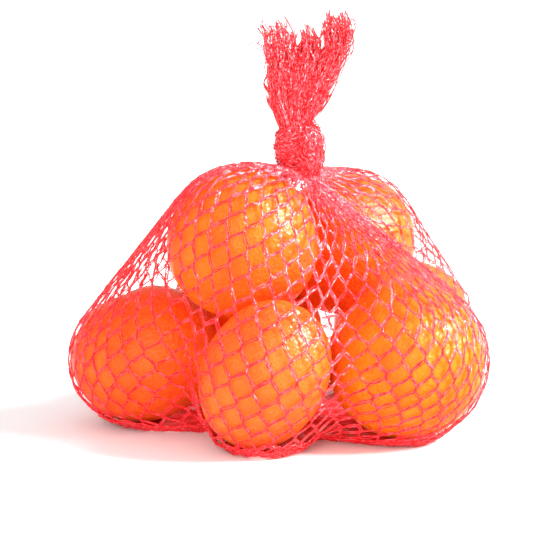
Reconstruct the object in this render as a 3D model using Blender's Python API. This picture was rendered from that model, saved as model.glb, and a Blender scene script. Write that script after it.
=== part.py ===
"""A net bag of clementines, closed by an overhand knot: Blender 4.5, metres, +Z up.

The bag is a single piece. Seven clementines lie inside it, five on the table and two on top,
and the knitted net is drawn over them like a hull that sags a little between one fruit and the
next. The net's diamond mesh is the solid's own grid: each crossing lies on the net, and each
diamond is sunk, slightly on a fruit, and as a deep hollow where only the next fruit lies behind. The net gathers into a knot, and its free end stands
above the knot as a pleated tuft of three ragged lobes. The origin is under the middle of the
bag, on the table.
"""

import math

import bmesh
import bpy
import numpy as np
from mathutils import Matrix, Vector

# The clementines: centre, radius across, radius along the core, and the core's direction.
CLEMENTINES = (
    ((-0.0127, -0.0212, 0.0726), 0.0292, 0.0290, (-0.35, -0.45, 0.82)),
    ((-0.0493, -0.0073, 0.0272), 0.0295, 0.0262, (0.10, 0.15, 0.98)),
    ((-0.0047, -0.0530, 0.0293), 0.0234, 0.0295, (0.42, -0.15, 0.88)),
    ((0.0488, -0.0350, 0.0306), 0.0299, 0.0295, (-0.54, -0.35, 0.77)),
    ((0.0273, 0.0179, 0.0663), 0.0275, 0.0286, (0.30, 0.30, 0.90)),
    ((0.0510, 0.0491, 0.0278), 0.0283, 0.0267, (-0.30, 0.20, 0.90)),
    ((-0.0093, 0.0339, 0.0281), 0.0283, 0.0270, (0.20, -0.30, 0.90)),
)

# The net over them.
NET_THICKNESS = 0.0010  # a knitted strand, lying on the fruit
FOOT_RADIUS = 0.010  # the net under each resting fruit spreads this far round its contact
HEART = (0.0, 0.0, 0.045)  # the bag is star-shaped seen from here
DRAPE = 0.40  # 0: strands taut only from neck to table, 1: the net taut every way, a full hull
ON_TABLE = 0.002  # a taut net lower than this lies on the table
TUCK = 0.6  # share by which it is drawn in there, half-way from one resting fruit to the next
TUCK_MARGIN = 0.012  # it lies this far past the fruit's contacts
SETTLING_PASSES = 2  # how often the net's distance is evened out between crossings
HULL_NORMALS = 6000
FACING = 0.05  # planes that a direction meets at a flatter slope than this don't count
COLUMNS = 52  # diamonds round the bag
ROWS = 28  # rows of crossings from the neck to the gather underneath
TWIST = math.radians(-24)  # the mesh turns by this much from the neck to the underside
CELL_DEPTH = 0.0010  # a diamond's middle below its crossings, on a fruit
HOLLOW_FROM = 0.0025  # a diamond whose middle lies further than this above the fruit is a hollow
HOLLOW_DEPTH = 0.016  # a hollow goes down to the fruit, or this far
HOLLOW_FLOOR = 0.74  # a hollow's floor, as a share of its diamond
HOLLOW_ROWS = (3, 3)  # rows without hollows, at the neck and underneath
LEVELS_MEASURED = 60  # rings that measure the net's length from neck to underside
STRAND_LEANS = 360  # directions tried when a column is pulled taut
FLAT_BELOW = 0.0007  # what is lower than this lies flat on the table

# The neck, where the net gathers into the knot.
NECK = (0.0089, -0.0091, 0.0955)
NECK_RADIUS = 0.0060
NECK_PLEATS = 13
PLEAT_DEPTH = 0.0011
PLEAT_REACH = 0.30  # the pleats die out at this share of the way down

# The knot: its left loop with bands wound round it, and its right loop laid across.
KNOT_CENTRE = (0.0082, -0.0091, 0.1056)
LEFT_LOOP = ((-0.0020, 0.0, 0.0020), (0.0062, 0.0068, 0.0098), 0.0)  # offset, radii, lean
RIGHT_LOOP = ((0.0028, -0.0012, -0.0004), (0.0056, 0.0066, 0.0110), -0.12)
BAND_HEIGHTS = (-0.0056, -0.0020, 0.0016, 0.0052)
BAND_RADIUS = 0.0014
BAND_LEAN = 0.16
LOOP_FACES = (24, 14)  # round and up a loop
BAND_FACES = (28, 8)  # round and across a band

# The tuft: each lobe's (height above the knot's middle, middle, half width, half depth).
LOBES = {
    "left": (
        (0.0060, -0.0014, 0.0032, 0.0036),
        (0.0115, -0.0022, 0.0036, 0.0040),
        (0.0190, -0.0060, 0.0052, 0.0046),
        (0.0290, -0.0062, 0.0059, 0.0044),
        (0.0400, -0.0064, 0.0066, 0.0036),
        (0.0502, -0.0068, 0.0064, 0.0028),
    ),
    "middle": (
        (0.0060, 0.0002, 0.0032, 0.0034),
        (0.0115, 0.0004, 0.0034, 0.0036),
        (0.0210, 0.0010, 0.0046, 0.0040),
        (0.0320, 0.0026, 0.0045, 0.0034),
        (0.0410, 0.0030, 0.0030, 0.0026),
        (0.0476, 0.0026, 0.0020, 0.0018),
    ),
    "right": (
        (0.0060, 0.0012, 0.0030, 0.0036),
        (0.0115, 0.0016, 0.0034, 0.0038),
        (0.0190, 0.0052, 0.0044, 0.0044),
        (0.0300, 0.0088, 0.0052, 0.0042),
        (0.0410, 0.0120, 0.0058, 0.0036),
        (0.0518, 0.0132, 0.0054, 0.0028),
    ),
}
LOBE_SIDES = 28
LOBE_STEPS = 3  # rings added between one height and the next
LOBE_PLEATS = 7
LOBE_FOLDS = 4  # broader folds, mixed with the pleats
LOBE_DRIFT = 0.004  # the folds turn by a radian for each such step sideways
LOBE_PLEAT_DEPTH = 0.15  # share of the lobe's size
RAGGED = 0.0022  # how far a pleat's end stands above the next one's

NET_COLOUR = (0.86, 0.045, 0.075, 1.0)
NET_ROUGHNESS = 0.38


def clear_scene():
    for obj in list(bpy.data.objects):
        bpy.data.objects.remove(obj, do_unlink=True)


def new_collection(name):
    collection = bpy.data.collections.new(name)
    bpy.context.scene.collection.children.link(collection)
    return collection


def net_material():
    material = bpy.data.materials.new("coral_net")
    material.use_nodes = True
    shader = material.node_tree.nodes["Principled BSDF"]
    shader.inputs["Base Color"].default_value = NET_COLOUR
    shader.inputs["Roughness"].default_value = NET_ROUGHNESS
    return material


def mesh_object(name, mesh_in_progress, collection):
    """A new object made from a bmesh, with its faces pointing out."""
    bmesh.ops.recalc_face_normals(mesh_in_progress, faces=mesh_in_progress.faces)
    mesh = bpy.data.meshes.new(name)
    mesh_in_progress.to_mesh(mesh)
    mesh_in_progress.free()
    obj = bpy.data.objects.new(name, mesh)
    collection.objects.link(obj)
    return obj


def even_directions(count):
    """Unit vectors spread evenly over a sphere, on a spiral of golden-angle steps."""
    index = np.arange(count) + 0.5
    z = 1 - 2 * index / count
    turn = index * math.pi * (3 - math.sqrt(5))
    ring = np.sqrt(1 - z * z)
    return np.stack([ring * np.cos(turn), ring * np.sin(turn), z], axis=1)


def fruit_shapes():
    """(centre seen from the heart, 3x3 matrix that maps the unit ball to the fruit) of each."""
    shapes = []
    for centre, across, along, core in CLEMENTINES:
        axis = np.array(Vector(core).normalized())
        stretch = across * np.eye(3) + (along - across) * np.outer(axis, axis)
        shapes.append((np.subtract(centre, HEART), stretch))
    return shapes


def table_contacts():
    """Where the resting fruit presses the net to the table, seen from the heart."""
    resting = [centre for centre, across, *_ in CLEMENTINES if centre[2] < 2 * across]
    return [np.subtract((x, y, NET_THICKNESS), HEART) for x, y, _ in resting]


def hull_distance(directions):
    """How far the taut net lies from the heart along each direction."""
    normals = even_directions(HULL_NORMALS)
    reaches = [normals @ at + np.linalg.norm(normals @ stretch, axis=1) for at, stretch in fruit_shapes()]
    sideways = FOOT_RADIUS * np.hypot(normals[:, 0], normals[:, 1])
    reaches += [normals @ foot + sideways for foot in table_contacts()]
    reach = np.max(reaches, axis=0) + NET_THICKNESS
    found = []
    for direction in directions:
        facing = normals @ direction
        found.append(np.min(reach[facing > FACING] / facing[facing > FACING]))
    return np.array(found)


def fruit_distance(directions):
    """How far the fruit's outermost skin lies from the heart along each direction, or 0."""
    furthest = np.zeros(len(directions))
    for centre, stretch in fruit_shapes():
        to_ball = np.linalg.inv(stretch)
        along = directions @ to_ball.T
        start = to_ball @ -centre
        a = np.sum(along * along, axis=1)
        b = along @ start
        room = b * b - a * (start @ start - 1)
        hit = room > 0
        crossing = np.where(hit, (-b + np.sqrt(np.maximum(room, 0))) / a, 0)
        furthest = np.maximum(furthest, crossing)
    return np.where(furthest > 0, furthest + NET_THICKNESS, 0)


def lies_on_table(rays, hull):
    """Where the taut net lies on the table. It is drawn in between the resting fruit."""
    points = rays * hull[:, :, None]
    contacts = sorted((math.atan2(y, x), math.hypot(x, y)) for x, y, _ in table_contacts())
    contacts.append((contacts[0][0] + 2 * math.pi, contacts[0][1]))
    turns, reaches = np.array(contacts).T
    turn = (np.arctan2(points[:, :, 1], points[:, :, 0]) - turns[0]) % (2 * math.pi) + turns[0]
    way = np.interp(turn, turns, np.arange(len(turns)))
    drawn_in = 1 - TUCK * np.sin(math.pi * way) ** 2
    edge = drawn_in * np.interp(turn, turns, reaches) + TUCK_MARGIN
    low = HEART[2] + points[:, :, 2] < ON_TABLE
    return low & (np.hypot(points[:, :, 0], points[:, :, 1]) < edge)


def row_directions(angle_from_neck, share_down, half_step):
    """The directions of one row of crossings, round an axis that leans to the neck at the top."""
    neck = Vector(NECK) - Vector(HEART)
    axis = neck.normalized().lerp(Vector((0, 0, 1)), share_down).normalized()
    right = Vector((0, 1, 0)).cross(axis).normalized()
    back = axis.cross(right)
    turns = (np.arange(COLUMNS) + half_step) * 2 * math.pi / COLUMNS + TWIST * share_down
    sideways = np.outer(np.cos(turns), right) + np.outer(np.sin(turns), back)
    return math.sin(angle_from_neck) * sideways + math.cos(angle_from_neck) * np.array(axis)


def row_angles():
    """Angles from the neck, so chosen that the rows are evenly spaced along the net."""
    first = math.atan(NECK_RADIUS / (Vector(NECK) - Vector(HEART)).length)
    angles = np.linspace(first, math.pi - first, LEVELS_MEASURED)
    rings = [row_directions(angle, angle / math.pi, 0) for angle in angles]
    rings = [ring * hull_distance(ring)[:, None] for ring in rings]
    steps = [np.linalg.norm(b - a, axis=1).mean() for a, b in zip(rings, rings[1:])]
    length = np.concatenate([[0], np.cumsum(steps)])
    return np.interp(np.linspace(0, length[-1], ROWS), length, angles)


def neighbours(grid):
    """The four crossings joined to each one: in the rows above and below, to both sides."""
    up = np.vstack([grid[:1], grid[:-1]])
    down = np.vstack([grid[1:], grid[-1:]])
    shift = np.where(np.arange(ROWS) % 2 == 0, 1, -1)
    sides = [np.stack([np.roll(row, s) for row, s in zip(near, shift)]) for near in (up, down)]
    return (up, down, *sides)


def taut_strands(angles, distance):
    """The distance once each column is pulled straight over what holds it out."""
    points = np.stack([np.sin(angles), np.cos(angles)], axis=1)[:, None, :] * distance[:, :, None]
    leans = np.linspace(0, math.pi, STRAND_LEANS)
    normals = np.stack([np.sin(leans), np.cos(leans)], axis=1)
    reach = np.max(np.einsum("ni,rci->nrc", normals, points), axis=1)
    facing = np.cos(angles[:, None] - leans[None, :])
    crossings = np.where(facing[:, :, None] > FACING, reach[None, :, :] / facing[:, :, None], np.inf)
    return np.min(crossings, axis=1)


def net_crossings():
    """The net's crossings as an array of rows by columns by x, y, z."""
    angles = row_angles()
    rays = np.stack([row_directions(a, a / math.pi, (row % 2) / 2) for row, a in enumerate(angles)])
    flat = rays.reshape(-1, 3)
    hull = hull_distance(flat).reshape(ROWS, COLUMNS)
    fruit = fruit_distance(flat).reshape(ROWS, COLUMNS)
    held = lies_on_table(rays, hull)
    held[0] = True
    strand = taut_strands(angles, np.where(held, hull, fruit))
    distance = strand + DRAPE * (hull - strand)
    for _ in range(SETTLING_PASSES):
        eased = 0.5 * distance + 0.125 * sum(neighbours(distance))
        distance = np.where(held, hull, np.clip(eased, fruit, hull))
    fade = np.clip(1 - angles / (PLEAT_REACH * math.pi), 0, 1)[:, None]
    turn = (np.arange(COLUMNS)[None, :] + (np.arange(ROWS)[:, None] % 2) / 2) / COLUMNS
    distance = distance + PLEAT_DEPTH * fade * np.cos(2 * math.pi * NECK_PLEATS * turn)
    points = np.array(HEART) + rays * distance[:, :, None]
    points[:, :, 2] = np.where(points[:, :, 2] < FLAT_BELOW, 0, points[:, :, 2])
    return points


def above_fruit(points):
    """How far each point lies above the fruit, seen from the heart, with the way out to it."""
    rays = np.array(points) - HEART
    length = np.linalg.norm(rays, axis=1)
    outward = rays / length[:, None]
    return length - fruit_distance(outward), outward


def sink_hollows(net, diamonds):
    """Lets each diamond down to a smaller floor on the fruit behind it, or as far as hollows go."""
    floors = bmesh.ops.extrude_discrete_faces(net, faces=diamonds)["faces"]
    corners, places = [], []
    for floor in floors:
        middle = floor.calc_center_median()
        for vert in floor.verts:
            corners.append(vert)
            places.append(middle.lerp(vert.co, HOLLOW_FLOOR))
    height, outward = above_fruit(places)
    depth = np.clip(height, CELL_DEPTH, HOLLOW_DEPTH)
    for vert, place in zip(corners, np.array(places) - depth[:, None] * outward):
        vert.co = place


def make_net_body(collection):
    """The bag's body: diamonds between crossings, each sunk at its middle, flat underneath."""
    net = bmesh.new()
    grid = [[net.verts.new(point) for point in row] for row in net_crossings()]
    diamonds, may_be_hollow = [], set()
    for row in range(ROWS - 2):
        for column in range(COLUMNS):
            side = column if row % 2 else column - 1
            across = (side + 1) % COLUMNS
            left, right = grid[row + 1][side], grid[row + 1][across]
            corners = (grid[row][column], left, grid[row + 2][column], right)
            diamonds.append(net.faces.new(corners))
            if HOLLOW_ROWS[0] <= row < ROWS - 2 - HOLLOW_ROWS[1]:
                may_be_hollow.add(diamonds[-1])
    for edge_row, next_row in ((0, 1), (ROWS - 1, ROWS - 2)):
        for column in range(COLUMNS):
            after = (column + 1) % COLUMNS
            between = column if edge_row % 2 == 0 else after
            net.faces.new((grid[edge_row][column], grid[edge_row][after], grid[next_row][between]))
        net.faces.new(grid[edge_row])
    net.normal_update()
    bmesh.ops.recalc_face_normals(net, faces=net.faces)
    resting = [face for face in net.faces if all(vert.co.z == 0 for vert in face.verts)]
    sunk = [face for face in diamonds if all(vert.co.z > 0 for vert in face.verts)]
    height, _ = above_fruit([face.calc_center_median() for face in sunk])
    hollow = [face in may_be_hollow and above > HOLLOW_FROM for face, above in zip(sunk, height)]
    shallow = [face for face, deep in zip(sunk, hollow) if not deep]
    sink_hollows(net, [face for face, deep in zip(sunk, hollow) if deep])
    bmesh.ops.poke(net, faces=shallow, offset=-CELL_DEPTH)
    bmesh.ops.dissolve_faces(net, faces=resting)
    return mesh_object("net_body", net, collection)


def make_loop(name, offset, radii, lean, collection):
    """One loop of the knot: a rounded lump of net."""
    loop = bmesh.new()
    place = Matrix.Translation(Vector(KNOT_CENTRE) + Vector(offset)) @ Matrix.Rotation(lean, 4, "Y")
    bmesh.ops.create_uvsphere(
        loop,
        u_segments=LOOP_FACES[0],
        v_segments=LOOP_FACES[1],
        radius=1,
        matrix=place @ Matrix.Diagonal((*radii, 1)),
    )
    return mesh_object(name, loop, collection)


def make_band(number, height, collection):
    """A band of net wound round the left loop: a ring with its own lean."""
    offset, radii, _ = LEFT_LOOP
    shrink = math.sqrt(1 - (height / radii[2]) ** 2)
    lean = BAND_LEAN * (-1) ** number
    bpy.ops.mesh.primitive_torus_add(
        major_radius=1,
        minor_radius=BAND_RADIUS / radii[0],
        major_segments=BAND_FACES[0],
        minor_segments=BAND_FACES[1],
    )
    band = bpy.context.object
    band.name = f"knot_band_{number}"
    band.data.transform(
        Matrix.Translation(Vector(KNOT_CENTRE) + Vector(offset) + Vector((0, 0, height)))
        @ Matrix.Rotation(lean, 4, "Y")
        @ Matrix.Diagonal((radii[0] * shrink, radii[1] * shrink, radii[0], 1))
    )
    for owner in list(band.users_collection):
        owner.objects.unlink(band)
    collection.objects.link(band)
    return band


def lobe_section(height, middle, half_width, half_depth, top_share):
    """The points of a pleated oval ring at one height of the tuft; its top ring is ragged."""
    points = []
    for side in range(LOBE_SIDES):
        turn = 2 * math.pi * side / LOBE_SIDES
        pleat = 0.7 * math.cos(LOBE_PLEATS * turn) + 0.4 * math.cos(LOBE_FOLDS * turn + middle / LOBE_DRIFT)
        swell = 1 + LOBE_PLEAT_DEPTH * pleat
        x = middle + half_width * swell * math.cos(turn)
        y = half_depth * swell * math.sin(turn)
        points.append(Vector((x, y, height + RAGGED * pleat * top_share)) + Vector(KNOT_CENTRE))
    return points


def make_lobe(name, heights, collection):
    """One lobe of the tuft, lofted through its rings and closed at both ends."""
    heights = np.array(heights)
    known = np.arange(len(heights))
    wanted = np.linspace(0, known[-1], known[-1] * LOBE_STEPS + 1)
    sizes = np.stack([np.interp(wanted, known, column) for column in heights.T], axis=1)
    lobe = bmesh.new()
    rings = []
    for step, size in enumerate(sizes):
        top_share = max(0, 1 - (len(sizes) - 1 - step) / LOBE_STEPS)
        rings.append([lobe.verts.new(point) for point in lobe_section(*size, top_share)])
    for lower, upper in zip(rings, rings[1:]):
        for side in range(LOBE_SIDES):
            after = (side + 1) % LOBE_SIDES
            lobe.faces.new((lower[side], lower[after], upper[after], upper[side]))
    lobe.faces.new(rings[0])
    top = lobe.faces.new(rings[-1])
    bmesh.ops.poke(lobe, faces=[top])
    return mesh_object(f"tuft_{name}", lobe, collection)


def fuse(base, name, pieces, material):
    """Joins the pieces to the base with one Boolean union, applied, and removes them."""
    union = base.modifiers.new("fuse", "BOOLEAN")
    union.operation = "UNION"
    union.operand_type = "COLLECTION"
    union.collection = pieces
    union.solver = "EXACT"
    graph = bpy.context.evaluated_depsgraph_get()
    mesh = bpy.data.meshes.new_from_object(base.evaluated_get(graph))
    base.modifiers.clear()
    base.data = mesh
    base.name = name
    for piece in list(pieces.objects):
        bpy.data.objects.remove(piece, do_unlink=True)
    bpy.data.collections.remove(pieces)
    mesh.materials.clear()
    mesh.materials.append(material)


def main():
    clear_scene()
    parts = new_collection("bag_of_clementines")
    pieces = new_collection("fused_pieces")
    body = make_net_body(parts)
    make_loop("knot_left_loop", *LEFT_LOOP, pieces)
    make_loop("knot_right_loop", *RIGHT_LOOP, pieces)
    for number, height in enumerate(BAND_HEIGHTS):
        make_band(number, height, pieces)
    for name, heights in LOBES.items():
        make_lobe(name, heights, pieces)
    fuse(body, "net_bag", pieces, net_material())


main()
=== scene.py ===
"""The looks of a net bag of clementines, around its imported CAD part: Blender 4.5, metres, +Z up.

Seven clementines lie in a knitted diamond net. The net is drawn over them like a hull that sags
a little between one fruit and the next. Its crossings are spread over that surface and slid
along it until no side of a diamond is overlong, and each side is then laid with flat filaments
that part and meet again. Slack strands lie round its foot, and the netting under the fruit is
drawn together in flat folds. Filaments wound round two loops make the knot, and three loose lobes
of them make the tuft above it, each packed with a core. Places are measured from the middle of
the bag's underside.
"""

import math

import bmesh
import bpy
import numpy as np
from mathutils import Matrix, Vector, noise


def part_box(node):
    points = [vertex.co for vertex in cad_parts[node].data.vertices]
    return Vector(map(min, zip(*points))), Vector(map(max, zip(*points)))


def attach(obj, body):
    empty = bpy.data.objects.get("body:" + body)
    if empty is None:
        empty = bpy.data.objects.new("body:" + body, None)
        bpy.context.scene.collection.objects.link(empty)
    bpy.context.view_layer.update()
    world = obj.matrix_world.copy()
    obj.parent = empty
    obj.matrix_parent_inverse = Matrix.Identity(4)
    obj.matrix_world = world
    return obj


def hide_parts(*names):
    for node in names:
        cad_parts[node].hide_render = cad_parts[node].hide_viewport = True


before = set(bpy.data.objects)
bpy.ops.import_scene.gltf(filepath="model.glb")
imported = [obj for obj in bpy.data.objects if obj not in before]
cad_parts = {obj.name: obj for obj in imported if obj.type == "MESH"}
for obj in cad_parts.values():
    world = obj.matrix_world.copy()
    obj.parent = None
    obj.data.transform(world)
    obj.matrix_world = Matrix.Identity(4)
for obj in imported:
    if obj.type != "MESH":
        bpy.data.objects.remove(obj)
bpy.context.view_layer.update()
BAG_LOW, BAG_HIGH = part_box("net_bag")
FOOT = np.array([(BAG_LOW.x + BAG_HIGH.x) / 2, (BAG_LOW.y + BAG_HIGH.y) / 2, BAG_LOW.z])
SEED = 7

# The clementines: centre, radius across, radius along the core, and the core's direction.
CLEMENTINES = (
    ((-0.0127, -0.0212, 0.0726), 0.0292, 0.0290, (0.35, 0.45, -0.82)),
    ((-0.0499, -0.0073, 0.0276), 0.0295, 0.0262, (-0.38, 0.10, 0.90)),
    ((-0.0044, -0.0530, 0.0293), 0.0238, 0.0295, (0.42, -0.15, 0.88)),
    ((0.0484, -0.0350, 0.0307), 0.0302, 0.0296, (-0.58, -0.06, 0.81)),
    ((0.0273, 0.0179, 0.0663), 0.0275, 0.0286, (0.30, 0.30, 0.90)),
    ((0.0510, 0.0491, 0.0278), 0.0283, 0.0267, (-0.30, 0.20, 0.90)),
    ((-0.0093, 0.0339, 0.0281), 0.0283, 0.0270, (0.20, -0.30, 0.90)),
)
PEEL_FINENESS = 6  # subdivisions of each clementine's mesh
LUMP_SCALE, PEBBLE_SCALE, FURROW_SCALE = 1.7, 9, 3
LUMP_DEPTH = 0.0009  # the peel's broad unevenness
PEBBLE_DEPTH = 0.00028  # its fine unevenness
DIMPLE = (0.0017, 0.24)  # depth at the stem, and its reach in radians
FURROWS = (0.0005, 0.55, 9)  # depth and reach of the furrows round the stem, and their number
# Beside each fruit's own tone, the second clementine's colours are darker and redder as painted
# shade.
PEEL_TONES_AND_PAINTED_SHADE = (  # of each clementine: its deepest colour and its brightest
    ((0.94, 0.100, 0.012), (1.0, 0.185, 0.014)),
    ((0.92, 0.088, 0.016), (0.97, 0.142, 0.018)),
    ((0.94, 0.088, 0.018), (1.0, 0.165, 0.020)),
    ((0.94, 0.130, 0.010), (1.0, 0.235, 0.012)),
    ((0.94, 0.090, 0.010), (1.0, 0.165, 0.012)),
    ((0.94, 0.100, 0.010), (1.0, 0.180, 0.012)),
    ((0.95, 0.085, 0.008), (1.0, 0.135, 0.010)),
)
STEMS = (  # of each clementine: the radius of its calyx, and the reach of the dry peel round it
    (0.0022, 0.0030), (0.0020, 0.0120), (0.0022, 0.0030), (0.0008, 0.0014),
    (0.0022, 0.0030), (0.0022, 0.0030), (0.0022, 0.0030),
)
DRY_PEEL = (0.52, 0.20, 0.13)
CALYX_LOBES = 5
CALYX_SIDES = 20
CALYX_PROFILE = ((1.0, -0.05), (0.75, 0.17), (0.45, 0.21), (0.38, 0.42), (0.2, 0.38))

# The surface that the net is drawn over.
NET_THICKNESS = 0.0010
FOOT_RADII = (0, 0.010, 0.014, 0.010, 0, 0.010, 0.010)  # its reach on the table under each fruit
HEART = np.array([0.0, 0.0, 0.045])  # the middle that the surface is measured from
NECK = np.array([0.0089, -0.0091, 0.0955])
NECK_RADIUS = 0.0034
DRAPE = 0.40  # 0: strands taut only from neck to table, 1: the net taut every way
ON_TABLE = 0.002  # netting lower than this lies on the table
TUCK = 0.60  # share by which the net on the table is drawn in between two resting fruit
TUCK_MARGIN = 0.012
HULL_NORMALS = 6000
FACING = 0.05  # a normal turned further away than this doesn't bound a direction
DRAPE_ROWS, DRAPE_TURNS = 97, 144
DRAPE_PASSES = 14
STRAND_LEANS = 360
FOOT_ANGLES = 400

# The net's crossings.
COLUMNS = 60
ROWS = 36
LEVELS = 28  # rows that a column needs from the neck to the gather underneath
LEVEL_TURNS = 48
LEVEL_ANGLES = 200
TILT, TILT_TURN = 3.6, 0.74  # a row is drawn up by twice this many levels across from this turn
ROW_IN_KNOT = 0.0009  # the height of a row that has been drawn up into the knot
DIAMOND_SIDE = 0.0079
TWIST = math.radians(-20)
FOLDS = ((0.94, 0.065, 2.8), (0.54, 0.055, 4.5))  # turn, width and crowding of each fold
FOLD_FADES = (0.33, 0.85)  # the folds fan out between these shares of the way down
UNDERSIDE_GATHER = 0.10  # radians
ROW_IN_GATHER = 0.010  # radians that each further row lies nearer to the gather's middle
RELAX_PASSES = 150
RELAX_PULL = 0.9  # share of a side's excess length that a pass takes up
RELAX_EVENING = 0.06

# The filaments.
SIDE_STEPS = 4
CROSSING_LENGTH = 0.0012  # how far the filaments of two strands run together
FILAMENT_HALF_WIDTH = 0.00025
FILAMENT_HALF_THICKNESS = 0.00014
FILAMENT_SIDES = 4
THIN_FILAMENT = 0.75  # size of the third filament of a strand
PARTING = (0.00022, 0.00046)  # half the gap between filaments at a crossing and between two
WANDER, LIFT, WANDER_KNOTS = 0.00013, 0.00014, 120  # how a filament strays in and out of the net
TWIST_KNOTS, WIDTH_KNOTS = 140, 50
FILAMENT_TWIST = 1.2  # radians
STRAND_MAP_STEP, STRAND_MAP_SIDE = 9.7, 0.4  # between tubes, and between a tube's sides

# The net at the foot: slack strands round it, and the netting gathered underneath.
HEM_STRANDS, HEM_SAMPLES = 6, 220
HEM_CELLS = 44  # zigzags in a turn
HEM_RISE, HEM_ZIGZAG, HEM_WANDER = (-0.01, 0.05), 0.016, 0.012  # radians
HEM_LIFT = 0.0004
GATHER_SIDES = 288
GATHER_REACH = (0.12, 0.86, 14)  # shares of the way out to the foot, and the number of rings
GATHER_PLEATS = (17, 29, 47, 71)  # in a turn, laid over one another
GATHER_HEIGHT = 0.0011

# The knot.
KNOT_CENTRE = np.array([0.0082, -0.0091, 0.1056])
LEFT_LOOP = ((-0.0030, 0.0, 0.0020), (0.0060, 0.0068, 0.0088))  # offset, radii
RIGHT_LOOP = ((0.0038, -0.0012, 0.0010), (0.0058, 0.0066, 0.0104))
LOOP_STRANDS, INNER_LOOP_STRANDS = (28, 34), (26, 30)  # of the left loop and of the right one
INNER_WRAPS = 0.92  # size of the second layer of wraps
CORE_SHARE = 0.88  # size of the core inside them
LOOP_ENDS = 0.96  # how near the ends of a loop its wraps come
LOOP_SAMPLES = 44
LEVEL_ROUNDING, UPRIGHT_ROUNDING = 0.7, 0.8  # below 1, a loop is squarer than a ball
CORE_RINGS, CORE_SIDES = 24, 40
PAIR_GAP = 0.00024  # half the gap between the two filaments of a pair
NECK_STRANDS = 60
NECK_STRAND_ANGLES = (0.05, 0.12, 0.36)  # where they leave the knot, and how much lower they end
NECK_STRAND_KNOT_SHARE = 0.3  # of their length
NECK_STRAND_LIFT = 0.0003

# The tuft: each lobe's (height above the knot's middle, middle, half width, half depth).
LOBES = {
    "left": (
        (0.0060, -0.0020, 0.0036, 0.0038),
        (0.0115, -0.0034, 0.0040, 0.0042),
        (0.0185, -0.0064, 0.0046, 0.0046),
        (0.0290, -0.0064, 0.0052, 0.0044),
        (0.0390, -0.0062, 0.0060, 0.0038),
        (0.0450, -0.0068, 0.0058, 0.0032),
        (0.0495, -0.0082, 0.0048, 0.0026),
    ),
    "middle": (
        (0.0060, 0.0002, 0.0034, 0.0036),
        (0.0115, 0.0004, 0.0040, 0.0040),
        (0.0200, 0.0010, 0.0050, 0.0042),
        (0.0300, 0.0024, 0.0052, 0.0036),
        (0.0370, 0.0038, 0.0046, 0.0030),
        (0.0425, 0.0042, 0.0028, 0.0024),
        (0.0472, 0.0027, 0.0014, 0.0014),
    ),
    "right": (
        (0.0060, 0.0016, 0.0030, 0.0036),
        (0.0115, 0.0018, 0.0034, 0.0040),
        (0.0190, 0.0056, 0.0046, 0.0046),
        (0.0270, 0.0086, 0.0056, 0.0044),
        (0.0340, 0.0112, 0.0062, 0.0040),
        (0.0400, 0.0142, 0.0054, 0.0036),
        (0.0470, 0.0150, 0.0056, 0.0030),
        (0.0528, 0.0142, 0.0048, 0.0026),
    ),
}
WEB = (  # what joins the lobes lower down, in the same measures
    (0.0060, 0.0000, 0.0034, 0.0034),
    (0.0115, -0.0008, 0.0044, 0.0038),
    (0.0185, -0.0004, 0.0074, 0.0040),
    (0.0290, 0.0014, 0.0110, 0.0044),
    (0.0375, 0.0026, 0.0130, 0.0044),
)
LOBE_CORE_REACH = 0.80  # share of each lobe's height
LOBE_PAIR_GAP = 0.00030
STRAYS = {"left": (9, -1), "middle": (3, 0), "right": (4, 1)}  # number and the side they leave by
LOBE_SHELLS = ((1.0, 26), (0.78, 18), (0.52, 13), (0.26, 7))  # size, strands
LOBE_SAMPLES = 48
TUFT_CELL = 0.0095  # length of a drawn-out diamond
STRAY_LENGTH = (0.0035, 0.0060)

# The net's colours: deepest, brightest, and pale pink for marks that are partly milky tone and
# partly painted highlight.
NET_COLOURS = ((0.92, 0.008, 0.014), (0.96, 0.016, 0.025), (1.0, 0.085, 0.100))
DRAWN_NET_COLOURS = ((0.94, 0.006, 0.012), (0.97, 0.018, 0.028), (1.0, 0.20, 0.24))
# Under the fruit, the gathered netting is darker throughout as painted shade.
PAINTED_SHADE_NET_COLOURS = ((0.50, 0.006, 0.006), (0.66, 0.010, 0.010), (0.8, 0.03, 0.03))

# Camera and light.
CAMERA_AIM = (-0.0038, 0.0005, 0.0600)
CAMERA_DISTANCE = 1.0
CAMERA_TILT = math.radians(10)
CAMERA_LENS = 175.6
SENSOR = 36.0
FLOOR_HALF = 6.0
WORLD_STRENGTH, WORLD_SEEN = 0.90, 1.2
KEY_DIRECTION = (0.80, -0.12, 0.58)
KEY_WIDTH, KEY_STRENGTH = math.radians(20), 7.3
LAMP_DISTANCE = 1.2
FILL = ((-0.25, -0.95, 0.16), 1.0, 10.5)  # direction, width, power
GLINT = (KEY_DIRECTION, 0.50, 155.0)
GLOSS = ((0.15, -0.85, 0.50), 0.90, 12.0)


# ---- the surface under the net


def unit(vectors):
    return vectors / np.maximum(np.linalg.norm(vectors, axis=-1, keepdims=True), 1e-12)


def eased(share):
    """The share, easing in and out."""
    return share * share * (3 - 2 * share)


def zigzag(phase):
    """A wave of straight lines between -1 and 1."""
    return np.arcsin(np.sin(phase)) * 2 / math.pi


def between(table, down, across):
    """The value at a place in a table of rows by turns, whose turns close up."""
    row = np.clip(down.astype(int), 0, len(table) - 2)
    column = np.floor(across).astype(int)
    u, v = down - row, across - column
    left, right = column % table.shape[1], (column + 1) % table.shape[1]
    upper = (1 - v) * table[row, left] + v * table[row, right]
    lower = (1 - v) * table[row + 1, left] + v * table[row + 1, right]
    return (1 - u) * upper + u * lower


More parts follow.
